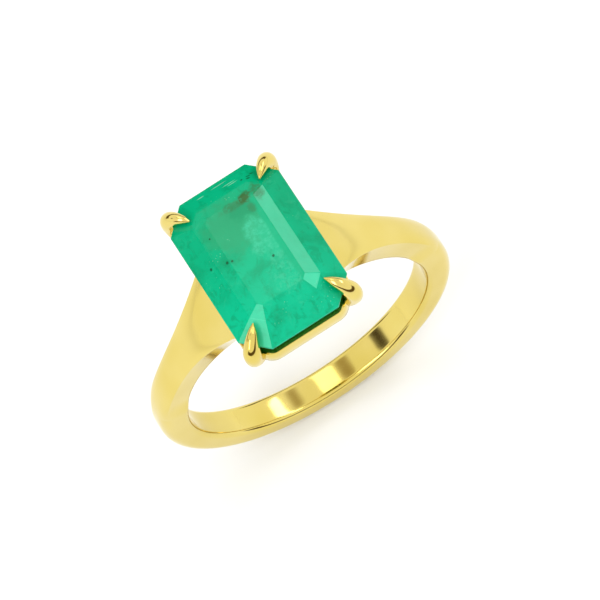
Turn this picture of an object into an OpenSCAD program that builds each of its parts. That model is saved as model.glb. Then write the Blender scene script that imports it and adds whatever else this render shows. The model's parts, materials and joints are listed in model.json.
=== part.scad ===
// Emerald-cut solitaire cocktail ring: a plain band, two flared shoulders,
// a four-claw head of two rails, and a step-cut stone. Millimetres.
// Origin: centre of the finger hole. +Z points to the stone, Y runs along
// the finger, X runs across the band.

/* [Finger hole] */
// Inside diameter of the ring
finger_d = 17; // [15:0.1:20]
// Width of the flat inner wall, along the finger
inner_flat = 1.31; // [1.2:0.01:1.5]

/* [Band] */
// Full width of the band, along the finger
band_w = 2.04; // [1.9:0.02:2.6]
// Thickness of the band at the very bottom
band_t_bottom = 1.68; // [1.4:0.02:1.8]
// Thickness of the band level with the finger's centre
band_t_side = 1.85; // [1.6:0.02:2.2]
// Height of the domed outer face over its edges
dome = 0.2; // [0.1:0.01:0.3]
// Rounding of the band's outer corners
band_corner = 0.5; // [0.3:0.05:0.55]

/* [Shoulders] */
// Angle from the bottom at which the band is joined to the shoulders
joint_angle = 104; // [98:1:108]
// Angle from the bottom at which the shoulders start to rise and widen
flare_angle = 110; // [110:1:120]
// How far the shoulders' crown rises over the band, at the stone's edge
rise = 1.69; // [1.2:0.01:1.9]
// How far each side of a shoulder widens, at the stone's edge
flare = 1.2; // [0.6:0.02:1.4]
// Rounding of the crisp ridge line along each shoulder
ridge_corner = 0.07; // [0.04:0.01:0.15]
// How far each lower edge of a shoulder is cut back towards the bore
edge_cut = 0.24; // [0:0.02:0.3]
// Half the gap between the two shoulders' ends, where the head stands
head_gap = 2.75; // [2.6:0.05:3]

/* [Stone] */
// Width of the stone across the band
stone_w = 7.58; // [7:0.02:7.8]
// Length of the stone along the finger
stone_l = 10.9; // [10:0.05:11.2]
// Size of the cut corners
stone_cut = 1.5; // [1.3:0.05:1.7]
// Height of the girdle over the top of the finger hole
girdle_h = 5.94; // [5.85:0.01:6.3]
// Height of the crown over the girdle
crown_h = 1.27; // [1:0.01:1.5]
// Depth of the pavilion under the girdle
pavilion_h = 3.4; // [3:0.05:3.5]

/* [Head] */
// Radial thickness of the gallery rail under the girdle
rail_t = 0.7; // [0.55:0.05:0.8]
// Height of the gallery rail
rail_h = 1.09; // [0.9:0.01:1.2]
// Gap from the gallery rail's top up to the girdle
rail_drop = 1.07; // [1:0.01:1.15]
// Thickness of the base rail
base_t = 0.6; // [0.5:0.05:0.7]
// Height of the base rail
base_h = 0.7; // [0.5:0.05:0.8]
// Thickness of the bridge that closes the finger circle under the head
bridge_t = 1.1; // [0.9:0.05:1.2]
// Thickest radius of a claw, at its outward bulge
claw_r = 0.57; // [0.5:0.01:0.65]

/* [Hidden] */

gold = [0.93, 0.80, 0.36];
pale_gold = [0.96, 0.86, 0.48];
green = [0.05, 0.68, 0.48];

finger_r = finger_d / 2;
flat_half = inner_flat / 2;
band_half = band_w / 2;
edge_start = 0.02;      // the inner rounding starts this far outside the bore
bore_lap = 0.25;        // the swept sections run this far into the bore
big = 40;               // longer than the ring, for cutting blocks

// The band's outer circle sits a little above the finger's centre, which
// makes the band thinner at the bottom than at the sides.
outer_shift = band_t_side - band_t_bottom;
outer_r = finger_r + band_t_side;
function band_crown_r(a) =
    -outer_shift * cos(a) + sqrt(pow(outer_r, 2) - pow(outer_shift * sin(a), 2));

// Shoulders: radius of the crown and half-widths, by angle from the bottom
flare_end = 160;        // angle at which rise and flare reach their full value
sweep_end = 172;        // the sweep runs on to here and is then cut square
shoulder_steps = 26;    // sections along the sweep
edge_turn = 10;         // degrees over which the band's lower edges become the shoulders'
edge_reach = 0.39;      // rounding of a shoulder's lower edges
rise_power = 2.38;
flare_power = 3.54;
inner_flare = 0.35;
joint_crown = band_crown_r(joint_angle);
function along(a) = max(0, (a - flare_angle) / (flare_end - flare_angle));
function crown_r(a) =
    min(joint_crown + rise * pow(along(a), rise_power), (rail_bottom - 0.02) / -cos(a));
function ridge_half(a) = band_half + flare * pow(along(a), flare_power);
function ease(a) = let (t = max(0, min(1, (a - joint_angle) / edge_turn))) t * t * (3 - 2 * t);
function inner_half(a) = band_half + inner_flare * pow(along(a), 2) - edge_cut * ease(a);
function edge_size(a) =
    let (r = inner_half(a) - flat_half) r + (edge_reach - r) * ease(a);
function corner_size(a) =
    max(ridge_corner,
        band_corner - (band_corner - ridge_corner) * (a - joint_angle) / 9);

// Stone: every level is [half width, half length, corner cut, z]
girdle_z = finger_r + girdle_h;
girdle_t = 0.14;
stone_x = stone_w / 2;
stone_y = stone_l / 2;
stone_levels = [
    [0.10, 1.70, 0.06, girdle_z - pavilion_h],
    [0.44 * stone_x, 0.61 * stone_y, 0.70, girdle_z - 0.73 * pavilion_h],
    [0.79 * stone_x, 0.85 * stone_y, 1.15, girdle_z - 0.37 * pavilion_h],
    [stone_x, stone_y, stone_cut, girdle_z - girdle_t / 2],
    [stone_x, stone_y, stone_cut, girdle_z + girdle_t / 2],
    [0.65 * stone_x, 0.75 * stone_y, 0.72, girdle_z + 0.72 * crown_h],
    [0.44 * stone_x, 0.60 * stone_y, 0.28, girdle_z + crown_h]
];

// Head: the gallery rail follows the girdle just inside its edge
rail_x = stone_x - 0.06;
rail_y = stone_y - 0.05;
rail_cut = stone_cut - 0.25;
rail_top = girdle_z - rail_drop;
rail_bottom = rail_top - rail_h;
base_x = head_gap;
base_y = 3.75;
base_cut = 1.15;
base_top = girdle_z - pavilion_h + 0.17;
base_bottom = base_top - base_h;
outline_round = 0.45;   // rounding of both rails' outline corners

// One claw, in the +X +Y quarter: [x, y, z, radius] from foot to tip,
// placed from the stone's corner and the two rails
claw_line = [
    [base_x - 0.50, base_y - 0.40, base_bottom + 0.05, 0.70 * claw_r],
    [base_x - 0.08, base_y + 0.25, base_top + 0.60, 0.82 * claw_r],
    [stone_x - 0.66, stone_y - 0.90, rail_bottom + 0.36, 0.95 * claw_r],
    [stone_x - 0.37, stone_y - 0.47, rail_top + 0.15, 0.91 * claw_r],
    [stone_x - 0.42, stone_y - 0.46, girdle_z - 0.03, 0.96 * claw_r],
    [stone_x - 0.72, stone_y - 0.79, girdle_z + 0.61, 0.74 * claw_r],
    [stone_x - 1.11, stone_y - 1.24, girdle_z + 0.89, 0.46 * claw_r],
    [stone_x - 1.39, stone_y - 1.61, girdle_z + 0.97, 0.08 * claw_r]
];
claw_sides = 14;
claw_steps = 3;         // stations between two points of claw_line
lean_from = girdle_z - 2.9;     // the claws stand true up to here,
lean_full = girdle_z - 0.9;     // and lean in full from here up

// ---- Section and sweep functions ----

// Points of a rounded corner at p, from r before it towards a to q after it towards b
function bend(a, p, b, r, q, n) =
    let (s = p + (a - p) * r / norm(a - p), e = p + (b - p) * q / norm(b - p))
    [for (i = [0:n]) let (t = i / n) pow(1 - t, 2) * s + 2 * t * (1 - t) * p + t * t * e];
function corner(a, p, b, r, n) = bend(a, p, b, r, r, n);

// Half of a band section, as [y, radius], from the bore up to the crown
function half_section(crown, half, inner, size, edge) =
    let (ridge = [half, crown - dome],
         foot = [inner, finger_r + edge_start],
         start = [flat_half, finger_r + edge_start],
         mid = half * 0.55,
         top = [mid, crown - dome * pow(mid / half, 3)])
    concat([[flat_half, finger_r - bore_lap]],
           bend(start, foot, ridge, inner - flat_half, edge, 4),
           corner(foot, ridge, top, min(size, 0.9 * (half - mid)), 4),
           [top, [half * 0.28, crown - dome * pow(0.28, 3)], [0, crown]]);

// Half of the band's outer profile about its own centre, as [y, radius]
function outer_half(crown) =
    let (foot = [band_half, finger_r - 1],
         ridge = [band_half, crown - dome],
         mid = band_half * 0.55,
         top = [mid, crown - dome * pow(mid / band_half, 3)])
    concat([foot], corner(foot, ridge, top, min(band_corner, 0.9 * (band_half - mid)), 6),
           [top, [band_half * 0.28, crown - dome * pow(0.28, 3)], [0, crown]]);

// The whole section as a closed loop, the crown point once
function loop_section(h) =
    concat(h, [for (i = [len(h) - 2:-1:0]) [-h[i][0], h[i][1]]]);

function shoulder_section(a) =
    loop_section(half_section(crown_r(a), ridge_half(a), inner_half(a), corner_size(a),
                              edge_size(a)));

// Strips across one ring of n points, each from one side to the other
function cap(n) =
    [for (i = [0:floor(n / 2) - 2 + n % 2]) let (k = n - 1 - i)
        i + 1 < k - 1 ? [i, i + 1, k - 1, k] : [i, i + 1, k]];

function reversed(list) = [for (i = [len(list) - 1:-1:0]) list[i]];

// A closed mesh through rings of equal length, each a list of 3-D points
module skin(rings) {
    n = len(rings[0]);
    m = len(rings);
    polyhedron(
        points = [for (ring = rings) each ring],
        faces = concat(
            cap(n),
            [for (strip = cap(n)) [for (i = reversed(strip)) (m - 1) * n + i]],
            [for (j = [0:m - 2]) for (i = [0:n - 1]) let (k = (i + 1) % n)
                each [[j * n + i, (j + 1) * n + i, (j + 1) * n + k],
                      [j * n + i, (j + 1) * n + k, j * n + k]]]));
}

// An octagonal outline: a rectangle with cut corners
function octagon(x, y, cut) = [
    [x, y - cut], [x - cut, y], [-x + cut, y], [-x, y - cut],
    [-x, -y + cut], [-x + cut, -y], [x - cut, -y], [x, -y + cut]];

// The same outline with its eight corners rounded
function round_octagon(x, y, cut, r) =
    let (o = octagon(x, y, cut))
    [for (i = [0:7]) each corner(o[(i + 7) % 8], o[i], o[(i + 1) % 8], r, 4)];

// A point on the smooth curve through four points, between b and c
function smooth(a, b, c, d, t) =
    0.5 * (2 * b + (c - a) * t + (2 * a - 5 * b + 4 * c - d) * t * t
           + (3 * b - a - 3 * c + d) * t * t * t);

function at(list, i) = list[max(0, min(len(list) - 1, i))];
function claw_at(i, t) =
    smooth(at(claw_line, i - 1), at(claw_line, i), at(claw_line, i + 1), at(claw_line, i + 2), t);
claw_stations = concat(
    [for (i = [0:len(claw_line) - 2]) for (k = [0:claw_steps - 1]) claw_at(i, k / claw_steps)],
    [claw_line[len(claw_line) - 1]]);

function xyz(p) = [p[0], p[1], p[2]];

// Where station i stands once the claw leans by [x, y]
function leaned(i, lean) =
    let (p = xyz(at(claw_stations, i)),
         share = max(0, min(1, (p[2] - lean_from) / (lean_full - lean_from))))
    p + share * [lean[0], lean[1], 0];

// Ring of a claw about station i, square to the claw's line
function claw_ring(i, lean) =
    let (dir = leaned(i + 1, lean) - leaned(i - 1, lean),
         side = [1, -1, 0] / norm([1, -1, 0]),
         up = cross(side, dir) / norm(cross(side, dir)))
    [for (k = [0:claw_sides - 1]) let (w = 360 * k / claw_sides)
        leaned(i, lean) + claw_stations[i][3] * (cos(w) * side + sin(w) * up)];

// ---- Shared shapes ----

module finger_hole() {
    rotate([90, 0, 0]) cylinder(r = finger_r, h = big, center = true, $fn = 180);
}

// Full turn of a section about the finger's axis
module turned(points) {
    rotate([90, 0, 0]) rotate_extrude($fn = 180) polygon([for (p = points) [p[1], p[0]]]);
}

// Waste outside the rounded inner edges, both sides
module inner_edges() {
    start = [flat_half, finger_r + edge_start];
    foot = [band_half, finger_r + edge_start];
    round_edge = corner(start, foot, [band_half, outer_r], band_half - flat_half, 6);
    waste = concat(round_edge, [[big, finger_r + 1], [big, finger_r - 1], [flat_half, finger_r - 1]]);
    turned(waste);
    mirror([0, 1, 0]) turned(waste);
}

// A far point on one of the two planes where the band meets the shoulders
function joint_ray(s) = [s * big * sin(joint_angle), -big * cos(joint_angle)];

module shoulder() {
    difference() {
        skin([for (i = [0:shoulder_steps])
            let (a = joint_angle + (sweep_end - joint_angle) * i / shoulder_steps)
            [for (p = shoulder_section(a)) [p[1] * sin(a), p[0], -p[1] * cos(a)]]]);
        finger_hole();
        translate([-head_gap, -big / 2, 0]) cube([2 * head_gap, big, big]);
    }
}

module gallery_block() {
    translate([0, 0, rail_bottom]) linear_extrude(rail_h)
        polygon(round_octagon(rail_x, rail_y, rail_cut, outline_round));
}

module base_block() {
    translate([0, 0, base_bottom]) linear_extrude(base_h)
        polygon(round_octagon(base_x, base_y, base_cut, outline_round));
}

module stone() {
    skin([for (s = stone_levels) [for (p = octagon(s[0], s[1], s[2])) [p[0], p[1], s[3]]]]);
}

// lean is how far the upper claw is set outwards in x and y from its even place
module claw(lean) {
    difference() {
        skin([for (i = [len(claw_stations) - 1:-1:0]) claw_ring(i, lean)]);
        stone();
        gallery_block();
        base_block();
    }
}

// ---- Parts ----

module lower_shank() {
    color(gold) difference() {
        translate([0, 0, outer_shift])
            turned(loop_section(outer_half(outer_r)));
        finger_hole();
        inner_edges();
        rotate([90, 0, 0]) linear_extrude(big, center = true)
            polygon([[0, 0], joint_ray(1), [big, big], [-big, big], joint_ray(-1)]);
    }
}

module shoulder_left() {
    color(pale_gold) mirror([1, 0, 0]) shoulder();
}

module shoulder_right() {
    color(pale_gold) shoulder();
}

module bridge() {
    color(gold) intersection() {
        difference() {
            turned(loop_section([[band_half, finger_r - 1], [band_half, finger_r + bridge_t],
                                 [0, finger_r + bridge_t]]));
            finger_hole();
            inner_edges();
        }
        translate([-head_gap, -big / 2, 0]) cube([2 * head_gap, big, big]);
    }
}

module base_rail() {
    color(gold) difference() {
        base_block();
        translate([0, 0, base_bottom - 1]) linear_extrude(base_h + 2)
            polygon(round_octagon(base_x - base_t, base_y - base_t, base_cut - 0.3, outline_round));
    }
}

module gallery_rail() {
    color(gold) difference() {
        gallery_block();
        translate([0, 0, rail_bottom - 1]) linear_extrude(rail_h + 2)
            polygon(round_octagon(rail_x - rail_t, rail_y - rail_t, rail_cut - 0.3, outline_round));
        stone();
    }
}

module claw_front_left() {
    color(pale_gold) mirror([1, 0, 0]) mirror([0, 1, 0]) claw([0.05, -0.04]);
}

module claw_front_right() {
    color(pale_gold) mirror([0, 1, 0]) claw([0.06, -0.03]);
}

module claw_back_left() {
    color(pale_gold) mirror([1, 0, 0]) claw([-0.09, 0]);
}

module claw_back_right() {
    color(pale_gold) claw([0.12, -0.1]);
}

module emerald() {
    color(green) stone();
}

lower_shank();
shoulder_left();
shoulder_right();
bridge();
base_rail();
gallery_rail();
claw_front_left();
claw_front_right();
claw_back_left();
claw_back_right();
emerald();
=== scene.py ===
import json
import math

import bmesh
import bpy
from mathutils import Matrix, Vector


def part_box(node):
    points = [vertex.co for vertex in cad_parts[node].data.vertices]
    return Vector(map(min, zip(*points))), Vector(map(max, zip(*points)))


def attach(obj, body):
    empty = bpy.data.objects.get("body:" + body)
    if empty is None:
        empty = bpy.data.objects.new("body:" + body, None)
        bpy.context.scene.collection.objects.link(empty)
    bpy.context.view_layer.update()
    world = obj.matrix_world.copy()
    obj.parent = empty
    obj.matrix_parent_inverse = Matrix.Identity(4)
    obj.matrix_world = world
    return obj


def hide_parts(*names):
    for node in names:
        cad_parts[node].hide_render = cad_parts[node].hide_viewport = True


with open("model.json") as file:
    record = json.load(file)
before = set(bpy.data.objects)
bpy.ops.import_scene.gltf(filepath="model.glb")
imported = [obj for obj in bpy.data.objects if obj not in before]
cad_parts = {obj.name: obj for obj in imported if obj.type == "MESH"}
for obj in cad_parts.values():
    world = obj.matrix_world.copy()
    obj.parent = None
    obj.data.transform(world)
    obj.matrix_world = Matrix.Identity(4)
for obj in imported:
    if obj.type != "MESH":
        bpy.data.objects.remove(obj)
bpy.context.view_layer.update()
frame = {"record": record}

# The shapes are worked out in millimetres and turned to metres in build_mesh.
MM = 0.001
BODY = "root"


# ---- Sizes taken from the frame ----

def node_box(node):
    """Lowest and highest corner of a CAD node, in millimetres."""
    low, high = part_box(node)
    return low / MM, high / MM


hole = next(m for m in frame["record"]["mounts"] if m["name"] == "finger_hole")
FINGER_R = hole["dims"]["r_mm"]
FLAT_HALF = hole["dims"]["length_mm"] / 2

shank_low, shank_high = node_box("lower_shank")
bridge_low, bridge_high = node_box("bridge")
base_low, base_high = node_box("base_rail")
rail_low, rail_high = node_box("gallery_rail")
stone_low, stone_high = node_box("emerald")

BAND_HALF = shank_high.y
OUTER_R = shank_high.x
OUTER_SHIFT = OUTER_R + shank_low.z
HEAD_GAP = base_high.x

# ---- Sizes repeated from the CAD model's design, in millimetres and degrees ----

DOME = 0.2
BAND_CORNER = 0.5
JOINT_ANGLE = 104
FLARE_ANGLE = 110
FLARE_END = 160
RISE = 1.69
RISE_POWER = 2.38
FLARE = 1.2
FLARE_POWER = 3.54
INNER_FLARE = 0.35
RIDGE_CORNER = 0.07
CORNER_FADE = 9
EDGE_CUT = 0.24
EDGE_TURN = 10
EDGE_REACH = 0.39

STONE_CUT = 1.5
CROWN_H = 1.27
GIRDLE_T = 0.14
RAIL_T = 0.7
BASE_T = 0.6
BASE_CUT = 1.15
OUTLINE_ROUND = 0.45
CLAW_R = 0.57

STONE_X = stone_high.x
STONE_Y = stone_high.y
GIRDLE_Z = stone_high.z - CROWN_H
PAVILION_H = GIRDLE_Z - stone_low.z


# ---- Small maths ----

def lerp(a, b, t):
    return a + (b - a) * t


def bend(a, p, b, before, after, steps):
    """A rounded corner at p, from before it towards a to after it towards b."""
    a, p, b = Vector(a), Vector(p), Vector(b)
    start = p + (a - p).normalized() * before
    end = p + (b - p).normalized() * after
    points = []
    for i in range(steps + 1):
        t = i / steps
        points.append(start * (1 - t) ** 2 + p * 2 * t * (1 - t) + end * t * t)
    return points


def corner(a, p, b, reach, steps):
    return bend(a, p, b, reach, reach, steps)


def smooth_point(a, b, c, d, t):
    """The point at t on the smooth curve through a, b, c and d, between b and c."""
    linear = (c - a) * t
    square = (2 * a - 5 * b + 4 * c - d) * t ** 2
    cube = (3 * b - a - 3 * c + d) * t ** 3
    return 0.5 * (2 * b + linear + square + cube)


# ---- Mesh helpers ----

def build_mesh(name, points, faces, sharp_degrees=30):
    """A mesh object from points in millimetres, smooth up to a sharp edge angle."""
    mesh = bpy.data.meshes.new(name)
    mesh.from_pydata([Vector(p) * MM for p in points], [], faces)
    mesh.validate()
    obj = bpy.data.objects.new(name, mesh)
    bpy.context.scene.collection.objects.link(obj)
    shade(obj, sharp_degrees)
    return obj


def shade(obj, sharp_degrees):
    obj.data.shade_smooth()
    obj.data.set_sharp_from_angle(angle=math.radians(sharp_degrees))


def side_faces(rings, count, closed):
    """Quads between rings of count points. A closed skin joins the last ring to the first."""
    total = rings if closed else rings - 1
    faces = []
    for j in range(total):
        here = j * count
        there = (j + 1) % rings * count
        for i in range(count):
            k = (i + 1) % count
            faces.append((here + i, here + k, there + k, there + i))
    return faces


def skin(name, rings, sharp_degrees=30):
    """A closed solid through rings of equal length, with a flat face at each end."""
    count = len(rings[0])
    last = (len(rings) - 1) * count
    faces = side_faces(len(rings), count, False)
    faces.append(tuple(reversed(range(count))))
    faces.append(tuple(last + i for i in range(count)))
    return build_mesh(name, [p for ring in rings for p in ring], faces, sharp_degrees)


def hoop(name, rings, sharp_degrees=30):
    """A closed solid through rings that come round to the first one again."""
    faces = side_faces(len(rings), len(rings[0]), True)
    return build_mesh(name, [p for ring in rings for p in ring], faces, sharp_degrees)


def face_outwards(obj):
    """Turns every face of a closed solid to the outside."""
    work = bmesh.new()
    work.from_mesh(obj.data)
    bmesh.ops.recalc_face_normals(work, faces=work.faces)
    work.to_mesh(obj.data)
    work.free()


def applied(obj, sharp_degrees):
    """Replaces an object's mesh by what its modifiers make of it."""
    graph = bpy.context.evaluated_depsgraph_get()
    mesh = bpy.data.meshes.new_from_object(obj.evaluated_get(graph))
    obj.modifiers.clear()
    obj.data = mesh
    shade(obj, sharp_degrees)


def cut(obj, tool, sharp_degrees=30):
    """Cuts a solid tool out of a solid."""
    knife = obj.modifiers.new("cut", "BOOLEAN")
    knife.object = tool
    knife.operation = "DIFFERENCE"
    knife.solver = "EXACT"
    applied(obj, sharp_degrees)


def rode(obj, node, material):
    """Gives a piece its material, hides the CAD node it stands for, and lets it ride on the ring."""
    obj.data.materials.clear()
    obj.data.materials.append(material)
    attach(obj, BODY)
    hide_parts(node)


# ---- Band and shoulders ----

def band_crown(angle):
    """Radius of the plain band's crown, by angle from the bottom in degrees."""
    a = math.radians(angle)
    return -OUTER_SHIFT * math.cos(a) + math.sqrt(OUTER_R ** 2 - (OUTER_SHIFT * math.sin(a)) ** 2)


def along(angle):
    """How far along the shoulder's flare an angle is: 0 at its start, 1 at its full value."""
    return max(0.0, (angle - FLARE_ANGLE) / (FLARE_END - FLARE_ANGLE))


def crown_radius(angle):
    if angle <= JOINT_ANGLE:
        return band_crown(angle)
    rising = band_crown(JOINT_ANGLE) + RISE * along(angle) ** RISE_POWER
    under_rail = (rail_low.z - 0.02) / -math.cos(math.radians(angle))
    return min(rising, under_rail)


def eased(angle):
    """0 on the band and 1 on the shoulder, smooth across the joint."""
    t = max(0.0, min(1.0, (angle - JOINT_ANGLE) / EDGE_TURN))
    return t * t * (3 - 2 * t)


def corner_reach(angle):
    """The outer corners are round on the band, and sharpen into the shoulders' ridge."""
    fade = max(0.0, (angle - JOINT_ANGLE) / CORNER_FADE)
    return max(RIDGE_CORNER, lerp(BAND_CORNER, RIDGE_CORNER, fade))


def band_section(angle):
    """Closed section of the band as (y, radius) points, by angle from the bottom."""
    crown = crown_radius(angle)
    half = BAND_HALF + FLARE * along(angle) ** FLARE_POWER
    inner = BAND_HALF + INNER_FLARE * along(angle) ** 2 - EDGE_CUT * eased(angle)
    edge = lerp(inner - FLAT_HALF, EDGE_REACH, eased(angle))
    ridge = (half, crown - DOME)
    foot = (inner, FINGER_R)
    reach = corner_reach(angle)
    turn = half - reach

    def domed(y):
        return (y, crown - DOME * (y / half) ** 3)

    line = [Vector((FLAT_HALF * t, FINGER_R)) for t in (0, 0.5)]
    line += bend((FLAT_HALF, FINGER_R), foot, ridge, inner - FLAT_HALF, edge, 10)
    line += corner(foot, ridge, domed(turn), reach, 8)
    line += [Vector(domed(turn * t)) for t in (0.85, 0.7, 0.55, 0.4, 0.25, 0.12, 0)]
    return line + [Vector((-p.x, p.y)) for p in reversed(line[1:-1])]


def around(angle, point, side=1):
    """A (y, radius) point of the section at an angle, in the ring's frame."""
    a = math.radians(angle)
    return Vector((side * point.y * math.sin(a), point.x, -point.y * math.cos(a)))


def make_band():
    steps = 280
    rings = []
    for i in range(steps + 1):
        angle = lerp(-JOINT_ANGLE, JOINT_ANGLE, i / steps)
        rings.append([around(angle, p) for p in band_section(abs(angle))])
    return skin("band", rings, 50)


def gap_angle(index):
    """The angle at which one line of the shoulder's section reaches the head's gap."""
    low, high = JOINT_ANGLE, 179
    for _ in range(40):
        middle = (low + high) / 2
        reached = band_section(middle)[index].y * math.sin(math.radians(middle))
        if reached > HEAD_GAP:
            low = middle
        else:
            high = middle
    return low


def make_shoulder(name, side):
    steps = 110
    count = len(band_section(JOINT_ANGLE))
    ends = [gap_angle(i) for i in range(count)]
    rings = []
    for j in range(steps + 1):
        ring = []
        for i in range(count):
            angle = lerp(JOINT_ANGLE, ends[i], j / steps)
            ring.append(around(angle, band_section(angle)[i], side))
        rings.append(ring)
    obj = skin(name, rings, 50)
    face_outwards(obj)
    return obj


def make_bridge():
    """The arc that closes the finger circle under the head, with rounded edges."""
    steps = 40
    half = BAND_HALF
    top = bridge_high.z
    line = [Vector((FLAT_HALF * t, FINGER_R)) for t in (0, 0.5)]
    line += corner((FLAT_HALF, FINGER_R), (half, FINGER_R), (half, top), half - FLAT_HALF, 10)
    line += corner((half, FINGER_R), (half, top), (0, top), 0.25, 8)
    line += [Vector((half * t, top)) for t in (0.5, 0)]
    section = line + [Vector((-p.x, p.y)) for p in reversed(line[1:-1])]
    rings = []
    for i in range(steps + 1):
        x = lerp(-HEAD_GAP, HEAD_GAP, i / steps)
        rings.append([Vector((x, p.x, math.sqrt(p.y ** 2 - x ** 2))) for p in section])
    obj = skin("bridge_arc", rings, 50)
    face_outwards(obj)
    return obj


# ---- Rails ----

def octagon(x, y, cut_size):
    c = cut_size
    return [(x, y - c), (x - c, y), (-x + c, y), (-x, y - c),
            (-x, -y + c), (-x + c, -y), (x - c, -y), (x, -y + c)]


def round_octagon(x, y, cut_size, steps=8):
    o = octagon(x, y, cut_size)
    points = []
    for i in range(8):
        points += corner(o[i - 1], o[i], o[(i + 1) % 8], OUTLINE_ROUND, steps)
    return points


def rail_section(low, high, thick, bevel, seat):
    """Section of a rail as (share from inner to outer wall, z), with small edge bevels.

    seat is the chamfer on the inner top edge that the stone's pavilion rests on.
    """
    b = bevel / thick
    s = seat / thick
    rise = seat * 1.35
    round_share = 0.3
    return [(b, low), (1 - b, low), (1 - round_share * b, low + round_share * bevel),
            (1, low + bevel), (1, high - bevel),
            (1 - round_share * b, high - round_share * bevel), (1 - b, high),
            (s, high), (0, high - rise), (0, low + bevel),
            (round_share * b, low + round_share * bevel)]


def make_rail(name, outer, inner, section):
    rings = []
    for o, i in zip(outer, inner):
        ring = [Vector((lerp(i.x, o.x, u), lerp(i.y, o.y, u), z)) for u, z in section]
        rings.append(ring)
    obj = hoop(name, rings, 35)
    face_outwards(obj)
    return obj


def make_gallery_rail():
    x, y = rail_high.x, rail_high.y
    cut_size = STONE_CUT - 0.25
    outer = round_octagon(x, y, cut_size)
    inner = round_octagon(x - RAIL_T, y - RAIL_T, cut_size - 0.3)
    section = rail_section(rail_low.z, rail_high.z, RAIL_T, 0.07, 0.15)
    return make_rail("gallery", outer, inner, section)


def make_base_rail():
    x, y = base_high.x, base_high.y
    outer = round_octagon(x, y, BASE_CUT)
    inner = round_octagon(x - BASE_T, y - BASE_T, BASE_CUT - 0.3)
    section = rail_section(base_low.z, base_high.z, BASE_T, 0.07, 0.08)
    return make_rail("base", outer, inner, section)


# ---- Stone ----

def stone_levels():
    """Every level of the stone as (half width, half length, corner cut, z)."""
    return [
        (0.10, 1.70, 0.06, GIRDLE_Z - PAVILION_H),
        (0.44 * STONE_X, 0.61 * STONE_Y, 0.70, GIRDLE_Z - 0.73 * PAVILION_H),
        (0.79 * STONE_X, 0.85 * STONE_Y, 1.15, GIRDLE_Z - 0.37 * PAVILION_H),
        (STONE_X, STONE_Y, STONE_CUT, GIRDLE_Z - GIRDLE_T / 2),
        (STONE_X, STONE_Y, STONE_CUT, GIRDLE_Z + GIRDLE_T / 2),
        (0.65 * STONE_X, 0.75 * STONE_Y, 0.72, GIRDLE_Z + 0.72 * CROWN_H),
        (0.44 * STONE_X, 0.60 * STONE_Y, 0.28, GIRDLE_Z + CROWN_H),
    ]


def crown_height(x, y):
    """Height of the crown's surface over a point that is away from the cut corners."""
    girdle, step, table = stone_levels()[-3:]
    height = table[3]
    for low, high in ((girdle, step), (step, table)):
        for axis, reach in enumerate((abs(x), abs(y))):
            slope = (high[3] - low[3]) / (low[axis] - high[axis])
            height = min(height, low[3] + slope * (low[axis] - reach))
    return height


def make_stone(name, grow=0.0):
    """The faceted stone, or one a little larger all round that cuts the claws' seats."""
    rings = []
    for x, y, c, z in stone_levels():
        ring = [Vector((p[0], p[1], z)) for p in octagon(x + grow, y + grow, c)]
        rings.append(ring)
    if grow:
        rings[0] = [p - Vector((0, 0, grow)) for p in rings[0]]
        rings[-1] = [p + Vector((0, 0, grow)) for p in rings[-1]]
    obj = skin(name, rings, 1)
    face_outwards(obj)
    return obj


def polish_facets(obj):
    """The narrow rounding that polishing leaves along each facet edge."""
    bevel = obj.modifiers.new("facet_edges", "BEVEL")
    bevel.width = 0.018 * MM
    bevel.segments = 1
    bevel.limit_method = "ANGLE"
    bevel.angle_limit = math.radians(5)
    applied(obj, 1)


# ---- Claws ----

# How far each upper claw is set outwards, in x and y, from its even place
LEANS = {"front_left": (0.05, -0.04), "front_right": (0.06, -0.03),
         "back_left": (-0.09, 0), "back_right": (0.12, -0.10)}
LEAN_FROM = GIRDLE_Z - 2.9
LEAN_FULL = GIRDLE_Z - 0.9


def claw_line():
    """One claw in the +X +Y quarter, from foot to tip, as (point, radius)."""
    sx, sy, gz = STONE_X, STONE_Y, GIRDLE_Z
    return [
        (Vector((HEAD_GAP - 0.50, base_high.y - 0.40, base_low.z + 0.05)), 0.70 * CLAW_R),
        (Vector((HEAD_GAP - 0.08, base_high.y + 0.25, base_high.z + 0.60)), 0.82 * CLAW_R),
        (Vector((sx - 0.66, sy - 0.90, rail_low.z + 0.36)), 0.95 * CLAW_R),
        (Vector((sx - 0.37, sy - 0.47, rail_high.z + 0.15)), 0.91 * CLAW_R),
        (Vector((sx - 0.42, sy - 0.46, gz - 0.03)), 0.96 * CLAW_R),
        (Vector((sx - 0.72, sy - 0.79, gz + 0.61)), 0.74 * CLAW_R),
        (Vector((sx - 1.11, sy - 1.24, gz + 0.89)), 0.46 * CLAW_R),
        (Vector((sx - 1.39, sy - 1.61, gz + 0.97)), 0.08 * CLAW_R),
    ]


def leaned(point, lean):
    share = max(0.0, min(1.0, (point.z - LEAN_FROM) / (LEAN_FULL - LEAN_FROM)))
    return point + share * Vector((*lean, 0))


def claw_stations(lean, steps=8):
    line = claw_line()

    def at(i):
        return line[max(0, min(len(line) - 1, i))]

    stations = []
    for i in range(len(line) - 1):
        a, b, c, d = at(i - 1), at(i), at(i + 1), at(i + 2)
        for k in range(steps):
            t = k / steps
            place = smooth_point(a[0], b[0], c[0], d[0], t)
            radius = smooth_point(a[1], b[1], c[1], d[1], t)
            stations.append((leaned(place, lean), max(radius, 0.03)))
    tip, radius = line[-1]
    stations.append((leaned(tip, lean), radius))
    return stations


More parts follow.
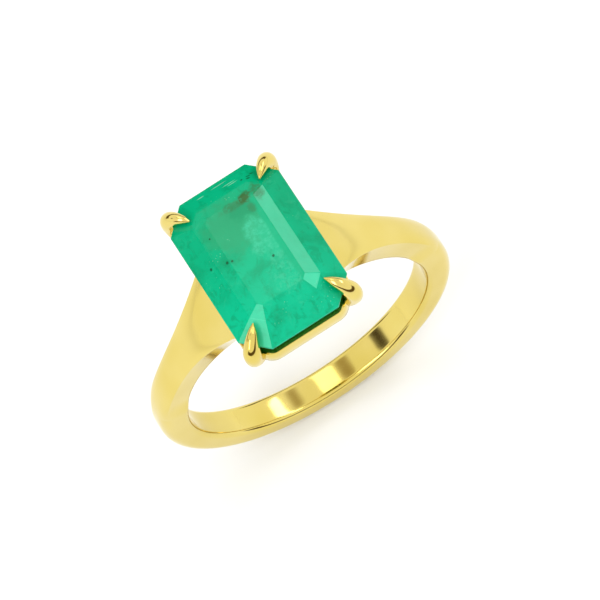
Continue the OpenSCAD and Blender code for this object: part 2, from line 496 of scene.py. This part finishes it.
def make_claw(name, side, end, lean, seat):
    """A claw at the corner on sides (side, end), cut to sit on the stone."""
    count = 36
    keel = 0.10
    stations = claw_stations(lean)
    across = Vector((1, -1, 0)).normalized()
    rings = []
    for i, (place, radius) in enumerate(stations):
        after = stations[min(i + 1, len(stations) - 1)][0]
        before = stations[max(i - 1, 0)][0]
        up = across.cross(after - before).normalized()
        share = i / (len(stations) - 1)
        sharpness = keel * max(0.0, share - 0.35)
        ring = []
        for k in range(count):
            w = 2 * math.pi * k / count
            reach = radius * (1 + sharpness * abs(math.sin(w)) ** 6)
            point = place + reach * (math.cos(w) * across + math.sin(w) * up)
            ring.append(Vector((side * point.x, end * point.y, point.z)))
        rings.append(ring)
    obj = skin(name, rings, 50)
    face_outwards(obj)
    cut(obj, seat, 50)
    return obj


# ---- Material helpers ----

def new_material(name):
    mat = bpy.data.materials.new(name)
    mat.use_nodes = True
    tree = mat.node_tree
    tree.nodes.clear()
    out = tree.nodes.new("ShaderNodeOutputMaterial")
    shader = tree.nodes.new("ShaderNodeBsdfPrincipled")
    tree.links.new(shader.outputs["BSDF"], out.inputs["Surface"])
    return mat, tree, shader


def add(tree, kind, **values):
    """A node with its properties and unlinked inputs set by name."""
    node = tree.nodes.new(kind)
    for key, value in values.items():
        if hasattr(node, key):
            setattr(node, key, value)
        else:
            node.inputs[key.replace("_", " ")].default_value = value
    return node


def ramp(tree, fac, stops):
    """A colour ramp on a 0 to 1 value."""
    node = tree.nodes.new("ShaderNodeValToRGB")
    elements = node.color_ramp.elements
    while len(elements) > 1:
        elements.remove(elements[0])
    for i, (place, colour) in enumerate(stops):
        element = elements[0] if i == 0 else elements.new(place)
        element.position = place
        element.color = (*colour, 1) if len(colour) == 3 else colour
    tree.links.new(fac, node.inputs["Fac"])
    return node.outputs["Color"]


def grey(value):
    return (value, value, value)


def mixed(tree, fac, a, b):
    """Colour a where fac is 0 and b where it is 1. Each may be a socket or a colour."""
    node = tree.nodes.new("ShaderNodeMix")
    node.data_type = "RGBA"
    for socket, value in ((node.inputs[0], fac), (node.inputs[6], a), (node.inputs[7], b)):
        if isinstance(value, bpy.types.NodeSocket):
            tree.links.new(value, socket)
        elif isinstance(value, tuple):
            socket.default_value = (*value, 1)
        else:
            socket.default_value = value
    return node.outputs[2]


def noise(tree, vector, scale, detail=3.0, roughness=0.5, distortion=0.0):
    node = tree.nodes.new("ShaderNodeTexNoise")
    node.inputs["Scale"].default_value = scale
    node.inputs["Detail"].default_value = detail
    node.inputs["Roughness"].default_value = roughness
    node.inputs["Distortion"].default_value = distortion
    tree.links.new(vector, node.inputs["Vector"])
    return node.outputs["Fac"]


def placed(tree, move=(0, 0, 0), turn=(0, 0, 0), scale=(1, 1, 1)):
    """The object's own coordinates in millimetres, then moved, turned and stretched."""
    coords = tree.nodes.new("ShaderNodeTexCoord")
    to_mm = tree.nodes.new("ShaderNodeVectorMath")
    to_mm.operation = "SCALE"
    to_mm.inputs["Scale"].default_value = 1 / MM
    tree.links.new(coords.outputs["Object"], to_mm.inputs[0])
    mapping = tree.nodes.new("ShaderNodeMapping")
    mapping.inputs["Location"].default_value = move
    mapping.inputs["Rotation"].default_value = turn
    mapping.inputs["Scale"].default_value = scale
    tree.links.new(to_mm.outputs["Vector"], mapping.inputs["Vector"])
    return mapping.outputs["Vector"]


def maths(tree, operation, a, b=0.0):
    """One arithmetic step between two values, each a socket or a number."""
    node = tree.nodes.new("ShaderNodeMath")
    node.operation = operation
    for socket, value in zip(node.inputs, (a, b)):
        if isinstance(value, bpy.types.NodeSocket):
            tree.links.new(value, socket)
        else:
            socket.default_value = value
    return node.outputs["Value"]


def ranged(tree, value, low, high):
    """0 where a value is at low and 1 where it is at high, smooth between."""
    node = tree.nodes.new("ShaderNodeMapRange")
    node.interpolation_type = "SMOOTHSTEP"
    node.inputs["From Min"].default_value = low
    node.inputs["From Max"].default_value = high
    tree.links.new(value, node.inputs["Value"])
    return node.outputs["Result"]


def distance_in(tree, centre, size):
    """Distance from centre, measured so that an ellipsoid of that size is at 1."""
    stretch = tuple(1 / s for s in size)
    shift = tuple(-c / s for c, s in zip(centre, size))
    length = tree.nodes.new("ShaderNodeVectorMath")
    length.operation = "LENGTH"
    tree.links.new(placed(tree, move=shift, scale=stretch), length.inputs[0])
    return length.outputs["Value"]


def patch(tree, centre, size, ragged, grain=1.2):
    """A soft-edged region: 1 inside an ellipsoid about centre, 0 outside, with a ragged edge."""
    grains = noise(tree, placed(tree), grain, 6, 0.65)
    wobble = maths(tree, "MULTIPLY", maths(tree, "SUBTRACT", grains, 0.5), ragged)
    reach = maths(tree, "ADD", distance_in(tree, centre, size), wobble)
    return ranged(tree, reach, 1.15, 0.55)


# ---- Materials ----

GOLD_DEEP = (0.73, 0.580, 0.142)
GOLD_PALE = (0.77, 0.625, 0.190)

# deep green for the random cloud and flecks, and for painted shade
EMERALD_DEEP_AND_SHADE = (0.000, 0.330, 0.140)
EMERALD_BODY = (0.000, 0.500, 0.240)
# brighter green for the painted light towards the front of the stone
EMERALD_BRIGHT = (0.000, 0.620, 0.330)
EMERALD_HAZE = (0.022, 0.410, 0.185)
# milky green for the veils, heart and mist, and for the painted highlight on the right inner step
EMERALD_MILK_AND_SHEEN = (0.058, 0.640, 0.365)
# pale green for the painted highlights on the facets beside the table
EMERALD_PALE = (0.075, 0.860, 0.520)
EMERALD_OLIVE = (0.042, 0.140, 0.030)
# dark green for the painted shade on the downward pavilion facets
PAVILION = (0.020, 0.160, 0.030)
GIRDLE = (0.420, 0.640, 0.560)
SPECK = (0.004, 0.070, 0.020)
GLINT = (0.350, 0.760, 0.560)

# The emerald's natural marks, placed in millimetres on the stone:
# stains and needles as (centre, size), stains with a strength, specks as (x, y, radius)
OLIVES = [
    ((1.15, 3.15, 15.8), (0.60, 0.40, 0.8), 0.95),
    ((0.35, 3.05, 15.8), (1.05, 0.32, 0.8), 0.45),
    ((2.00, 3.20, 15.6), (0.40, 0.75, 0.8), 0.60),
    ((1.20, 2.30, 15.8), (0.30, 0.40, 0.8), 0.35),
]
DARK_NEEDLES = [
    ((2.05, 4.45, 15.1), (0.16, 0.05, 1)),
    ((2.30, 4.55, 15.0), (0.14, 0.05, 1)),
    ((1.98, 4.28, 15.1), (0.15, 0.06, 1)),
    ((1.60, 4.42, 15.1), (0.08, 0.07, 1)),
]
PALE_NEEDLES = [
    ((0.30, 5.10, 14.8), (0.55, 0.025, 1)),
    ((0.85, 4.75, 14.9), (0.45, 0.025, 1)),
    ((1.05, 4.60, 15.0), (0.35, 0.025, 1)),
    ((-1.00, 5.02, 14.8), (0.25, 0.030, 1)),
]
SPECKS = [(-2.8, 0.6, 0.11), (-1.8, 0.2, 0.11), (-1.5, 0.1, 0.09), (0.7, -1.0, 0.10), (-1.9, 2.1, 0.07)]

# Facets beside the table painted pale as painted highlights: direction they face, strength
PALE_FACETS = [((0.26, -0.26, 0.93), 0.6), ((-0.26, -0.26, 0.93), 0.5), ((-0.41, -0.41, 0.82), 0.6)]

def gold_material(name, turn, rough):
    """Polished yellow gold: faint tone drift, a polish haze, and fine polishing lines."""
    mat, tree, shader = new_material(name)
    drift = noise(tree, placed(tree), 0.26, 2)
    colour = ramp(tree, drift, [(0.35, GOLD_DEEP), (0.65, GOLD_PALE)])
    tree.links.new(colour, shader.inputs["Base Color"])

    lines = noise(tree, placed(tree, turn=turn, scale=(1, 26, 26)), 0.9, 4, 0.6)
    haze = noise(tree, placed(tree, move=(3, 1, 2)), 0.52, 4, 0.6)
    blend = mixed(tree, 0.5, lines, haze)
    roughness = ramp(tree, blend, [(0.35, grey(rough * 0.75)), (0.7, grey(rough * 1.35))])
    tree.links.new(roughness, shader.inputs["Roughness"])

    bump = add(tree, "ShaderNodeBump", Strength=0.05, Distance=0.000004)
    tree.links.new(lines, bump.inputs["Height"])
    tree.links.new(bump.outputs["Normal"], shader.inputs["Normal"])
    shader.inputs["Metallic"].default_value = 1.0
    return mat


def blended(tree, mask, strength, a, b):
    """Colour b over a, as strong as a mask times a number."""
    return mixed(tree, maths(tree, "MULTIPLY", mask, strength), a, b)


def facing(tree, direction, degrees):
    """1 on the facets whose normal lies within some degrees of a direction."""
    surface = tree.nodes.new("ShaderNodeNewGeometry")
    dot = tree.nodes.new("ShaderNodeVectorMath")
    dot.operation = "DOT_PRODUCT"
    dot.inputs[1].default_value = Vector(direction).normalized()
    tree.links.new(surface.outputs["True Normal"], dot.inputs[0])
    edge = math.cos(math.radians(degrees))
    return maths(tree, "GREATER_THAN", dot.outputs["Value"], edge)


def emerald_body(tree):
    """The stone's colour from large to small: painted light brighter towards the front and painted
    shade along the right edge, then drifting cloud.
    """
    split = tree.nodes.new("ShaderNodeSeparateXYZ")
    tree.links.new(placed(tree), split.inputs["Vector"])
    x, y = split.outputs["X"], split.outputs["Y"]
    # painted light: the green brightens towards the front of the stone
    colour = mixed(tree, ranged(tree, y, 2.0, -4.5), EMERALD_BODY, EMERALD_BRIGHT)
    cloud = noise(tree, placed(tree), 0.55, 7, 0.62, 0.4)
    colour = blended(tree, ranged(tree, cloud, 0.52, 0.30), 0.55, colour, EMERALD_DEEP_AND_SHADE)
    # painted shade: darker green along the right edge of the stone
    colour = blended(tree, ranged(tree, x, 2.3, 3.2), 0.25, colour, EMERALD_DEEP_AND_SHADE)
    fleck = noise(tree, placed(tree, move=(1, 8, 2), scale=(1, 0.7, 1)), 1.7, 8, 0.7, 0.8)
    colour = blended(tree, ranged(tree, fleck, 0.50, 0.36), 0.5, colour, EMERALD_DEEP_AND_SHADE)
    mist = noise(tree, placed(tree, move=(7, 3, 1)), 0.9, 8, 0.7, 0.6)
    return blended(tree, ranged(tree, mist, 0.54, 0.76), 0.35, colour, EMERALD_MILK_AND_SHEEN)


def emerald_veils(tree, colour):
    """Milky veils under the table, with a cloudier heart, a patch of painted shade at the back, and a
    band of painted shade at their right.
    """
    haze = patch(tree, (-0.3, 2.0, 15.9), (2.0, 2.0, 3.0), 1.8, 0.8)
    colour = blended(tree, haze, 0.85, colour, EMERALD_HAZE)
    grain = ranged(tree, noise(tree, placed(tree), 3.2, 8, 0.75, 0.3), 0.42, 0.62)
    heart = patch(tree, (0.75, 0.35, 15.9), (0.95, 1.7, 2.0), 1.8, 1.1)
    grainy = maths(tree, "ADD", maths(tree, "MULTIPLY", grain, 0.6), 0.4)
    heart = maths(tree, "MULTIPLY", heart, grainy)
    colour = blended(tree, heart, 0.85, colour, EMERALD_MILK_AND_SHEEN)
    veil = patch(tree, (0.8, -2.4, 15.9), (0.9, 1.5, 2.0), 2.4, 1.3)
    colour = blended(tree, maths(tree, "MULTIPLY", veil, grain), 0.55, colour, EMERALD_MILK_AND_SHEEN)
    # painted shade: a darker patch towards the back of the table
    dim = patch(tree, (0.9, 2.5, 15.9), (1.3, 0.7, 2.0), 2.0, 1.6)
    colour = blended(tree, dim, 0.5, colour, EMERALD_DEEP_AND_SHADE)
    # painted shade: a darker band beside the lit right step, the milky veil taken back to the body
    # colour
    clear = patch(tree, (1.60, -0.3, 15.75), (0.34, 4.6, 1.5), 0.5, 1.4)
    return blended(tree, clear, 0.8, colour, EMERALD_BODY)


def emerald_facets(tree, colour):
    """Painted highlights on the right inner step, its corner, and the front left; painted shade on the
    downward pavilion facets; pale left and right girdle faces.
    """
    step, table = stone_levels()[-2:]
    slope = (table[3] - step[3]) / (step[0] - table[0])
    # painted highlight: the right inner step facet is painted milky pale, varied by a fine grain
    inner = facing(tree, (slope, 0, 1), 6)
    sheen_grain = ranged(tree, noise(tree, placed(tree, scale=(1, 0.4, 1)), 1.1, 6, 0.6), 0.25, 0.75)
    lit = maths(tree, "ADD", maths(tree, "MULTIPLY", sheen_grain, 0.25), 0.65)
    colour = mixed(tree, maths(tree, "MULTIPLY", inner, lit), colour, EMERALD_MILK_AND_SHEEN)
    # painted highlights: the facets beside the table are painted pale
    for direction, strength in PALE_FACETS:
        colour = blended(tree, facing(tree, direction, 8), strength, colour, EMERALD_PALE)
    # painted shade: the downward pavilion facets are painted dark
    under = facing(tree, (0, 0, -1), 84)
    colour = blended(tree, under, 0.9, colour, PAVILION)
    for side in (-1, 1):
        colour = blended(tree, facing(tree, (side, 0, 0), 10), 0.7, colour, GIRDLE)
    return colour


def emerald_inclusions(tree, colour):
    """What a natural emerald holds: an olive corner, specks and needles, then painted glints."""
    fine = ranged(tree, noise(tree, placed(tree), 4.5, 6, 0.7), 0.30, 0.52)
    for centre, size, strength in OLIVES:
        olive = maths(tree, "MULTIPLY", patch(tree, centre, size, 1.3, 2.2), fine)
        colour = blended(tree, olive, strength, colour, EMERALD_OLIVE)
    for x, y, radius in SPECKS:
        spot = patch(tree, (x, y, crown_height(x, y)), (radius, radius, radius), 0.8, 9.0)
        colour = blended(tree, spot, 0.85, colour, SPECK)
    for needles, tint in ((DARK_NEEDLES, SPECK), (PALE_NEEDLES, GLINT)):
        for centre, size in needles:
            needle = ranged(tree, distance_in(tree, centre, size), 1.2, 0.6)
            colour = blended(tree, needle, 0.75, colour, tint)
    return emerald_glints(tree, colour)


def emerald_glints(tree, colour):
    """Painted highlights: bright pinpoints, thickest near the front right corner."""
    # painted highlights: pale pinpoints spread over the stone
    glint_cells = tree.nodes.new("ShaderNodeTexVoronoi")
    glint_cells.inputs["Scale"].default_value = 5.0
    tree.links.new(placed(tree, move=(0.4, 0.2, 0)), glint_cells.inputs["Vector"])
    dots = ranged(tree, glint_cells.outputs["Distance"], 0.20, 0.08)
    sparse = ranged(tree, noise(tree, placed(tree, move=(2, 5, 3)), 0.6, 2), 0.60, 0.68)
    near = patch(tree, (2.1, -4.4, 15.0), (1.0, 0.9, 1.0), 0.8)
    where = maths(tree, "MAXIMUM", sparse, near)
    return blended(tree, maths(tree, "MULTIPLY", dots, where), 0.4, colour, GLINT)


def emerald_material():
    """Natural emerald: cloudy saturated green with veils and dark specks, painted facet light and
    shade, and painted glints.
    """
    mat, tree, shader = new_material("emerald_green")
    colour = emerald_veils(tree, emerald_body(tree))
    colour = emerald_inclusions(tree, emerald_facets(tree, colour))
    tree.links.new(colour, shader.inputs["Base Color"])
    shader.inputs["Roughness"].default_value = 0.05
    shader.inputs["IOR"].default_value = 1.58
    shader.inputs["Transmission Weight"].default_value = 0.2
    shader.inputs["Specular IOR Level"].default_value = 0.03
    return mat


def floor_material():
    mat, tree, shader = new_material("white_floor")
    shader.inputs["Base Color"].default_value = (0.94, 0.960, 1.0, 1)
    shader.inputs["Roughness"].default_value = 0.9
    shader.inputs["Specular IOR Level"].default_value = 0.1
    return mat


# ---- Building the ring ----

band_gold = gold_material("gold_band", (0, 0, 0), 0.10)
head_gold = gold_material("gold_head", (0, 0, math.radians(90)), 0.09)
claw_gold = gold_material("gold_claws", (0, math.radians(90), 0), 0.08)

rode(make_band(), "lower_shank", band_gold)
rode(make_shoulder("shoulder_left_arm", -1), "shoulder_left", band_gold)
rode(make_shoulder("shoulder_right_arm", 1), "shoulder_right", band_gold)
rode(make_bridge(), "bridge", band_gold)
rode(make_gallery_rail(), "gallery_rail", head_gold)
rode(make_base_rail(), "base_rail", head_gold)

seat = make_stone("seat_tool", 0.012)
CORNERS = {"front_left": (-1, -1), "front_right": (1, -1),
           "back_left": (-1, 1), "back_right": (1, 1)}
for place, (side, end) in CORNERS.items():
    claw = make_claw("prong_" + place, side, end, LEANS[place], seat)
    rode(claw, "claw_" + place, claw_gold)
bpy.data.objects.remove(seat)

stone = make_stone("stone")
polish_facets(stone)
rode(stone, "emerald", emerald_material())


# ---- Floor, light and camera ----

WALL = (1.15, 1.15, 1.15)
HIGH_WALL = (1.13, 1.10, 1.05)
CEILING = (1.07, 1.05, 1.00)
# Dark gaps between the studio's panels: direction, half width, softness, colour
GAPS = [
    ((-0.78, 0.37, 0.50), 4.5, 2.5, (0.05, 0.035, 0.02)),
    ((-0.29, 0.37, 0.88), 4.0, 3.0, (0.45, 0.36, 0.22)),
    ((0.49, 0.37, 0.79), 3.0, 3.0, (0.50, 0.42, 0.28)),
]
# Dark edges low at the studio's front and back: direction, half spread, lowest and highest z
SKIRTS = [((0, -1, 0), 70, 0.02, 0.26), ((0, 1, 0), 50, 0.03, 0.22)]
SKIRT = (0.13, 0.085, 0.035)
# Soft strips: name, start and end direction, distance and width in metres, glow
LIGHTS = [
    ("overhead", (-0.02, 0.30, 0.95), (0.06, 0.60, 0.80), 0.5, 0.15, 1.3),
    ("right_strip", (0.51, -0.20, 0.84), (0.72, 0.42, 0.55), 0.35, 0.06, 3.2),
    ("left_box", (-0.76, -0.45, 0.47), (-0.44, -0.08, 0.90), 0.35, 0.09, 3.2),
]
# Camera: angles in degrees, places in millimetres
CAMERA_TURN = -5.158
CAMERA_TILT = 67.796
CAMERA_ROLL = 27.769
CAMERA_DISTANCE = 321.76
AIM_RIGHT = 0.956
AIM_UP = 2.037
CAMERA_LENS = 314.2
CAMERA_SENSOR = 36
FLOOR_HALF = 1.2


def make_floor():
    z = shank_low.z * MM
    points = [(side * FLOOR_HALF, end * FLOOR_HALF, z)
              for side, end in ((-1, -1), (1, -1), (1, 1), (-1, 1))]
    mesh = bpy.data.meshes.new("floor")
    mesh.from_pydata(points, [], [(0, 1, 2, 3)])
    floor = bpy.data.objects.new("floor", mesh)
    bpy.context.scene.collection.objects.link(floor)
    mesh.materials.append(floor_material())


def make_world():
    """A pale studio: bright walls, a warmer ceiling, and dark gaps between its panels."""
    world = bpy.data.worlds.new("studio")
    bpy.context.scene.world = world
    world.use_nodes = True
    tree = world.node_tree
    tree.nodes.clear()
    out = tree.nodes.new("ShaderNodeOutputWorld")
    sky = tree.nodes.new("ShaderNodeBackground")
    coords = tree.nodes.new("ShaderNodeTexCoord")
    split = tree.nodes.new("ShaderNodeSeparateXYZ")
    tree.links.new(coords.outputs["Generated"], split.inputs["Vector"])
    colour = ramp(tree, split.outputs["Z"], [(0.0, WALL), (0.22, WALL), (0.45, HIGH_WALL),
                                             (0.8, CEILING)])
    for direction, width, soft, tint in GAPS:
        dot = tree.nodes.new("ShaderNodeVectorMath")
        dot.operation = "DOT_PRODUCT"
        dot.inputs[1].default_value = Vector(direction).normalized()
        tree.links.new(coords.outputs["Generated"], dot.inputs[0])
        edge = math.cos(math.radians(width + soft))
        core = math.cos(math.radians(width))
        inside = ramp(tree, dot.outputs["Value"], [(edge, grey(0)), (core, grey(1))])
        colour = mixed(tree, inside, colour, tint)
    for direction, spread, low, high in SKIRTS:
        dot = tree.nodes.new("ShaderNodeVectorMath")
        dot.operation = "DOT_PRODUCT"
        dot.inputs[1].default_value = Vector(direction)
        tree.links.new(coords.outputs["Generated"], dot.inputs[0])
        ahead = math.cos(math.radians(spread))
        inside = ranged(tree, dot.outputs["Value"], ahead - 0.15, ahead)
        inside = maths(tree, "MULTIPLY", inside, ranged(tree, split.outputs["Z"], low - 0.04, low))
        inside = maths(tree, "MULTIPLY", inside, ranged(tree, split.outputs["Z"], high + 0.05, high))
        colour = mixed(tree, inside, colour, SKIRT)
    tree.links.new(colour, sky.inputs["Color"])
    sky.inputs["Strength"].default_value = 1.0
    tree.links.new(sky.outputs["Background"], out.inputs["Surface"])


def softbox(name, start, end, distance, width, glow):
    """A soft strip light that faces the ring and spans from one direction to another.

    glow is how bright its face looks.
    """
    start, end = Vector(start).normalized(), Vector(end).normalized()
    way = (start + end).normalized()
    length = distance * (start - end).length
    light = bpy.data.lights.new(name, "AREA")
    light.shape = "RECTANGLE"
    light.size, light.size_y = width, length
    light.energy = glow * math.pi * width * length
    obj = bpy.data.objects.new(name, light)
    bpy.context.scene.collection.objects.link(obj)
    along_y = (end - start).normalized()
    along_x = along_y.cross(way)
    axes = Matrix((along_x, along_y, way)).transposed()
    obj.matrix_world = Matrix.Translation(way * distance) @ axes.to_4x4()
    return obj


def make_camera():
    """Three quarters from above and in front, turned so that the ring lies aslant."""
    turn = math.radians(CAMERA_TURN)
    tilt = math.radians(CAMERA_TILT)
    roll = math.radians(CAMERA_ROLL)
    back = Vector((math.sin(turn) * math.cos(tilt), -math.cos(turn) * math.cos(tilt), math.sin(tilt)))
    right = Vector((math.cos(turn), math.sin(turn), 0))
    up = back.cross(right)
    image_right = right * math.cos(roll) - up * math.sin(roll)
    image_up = right * math.sin(roll) + up * math.cos(roll)
    data = bpy.data.cameras.new("camera")
    data.lens = CAMERA_LENS
    data.sensor_width = CAMERA_SENSOR
    data.clip_start = 0.01
    data.clip_end = 10
    camera = bpy.data.objects.new("camera", data)
    bpy.context.scene.collection.objects.link(camera)
    place = (AIM_RIGHT * right + AIM_UP * up + CAMERA_DISTANCE * back) * MM
    axes = Matrix((image_right, image_up, back)).transposed()
    camera.matrix_world = Matrix.Translation(place) @ axes.to_4x4()
    bpy.context.scene.camera = camera


make_floor()
make_world()
for light in LIGHTS:
    softbox(*light)
make_camera()
bpy.context.scene.view_settings.view_transform = "Standard"
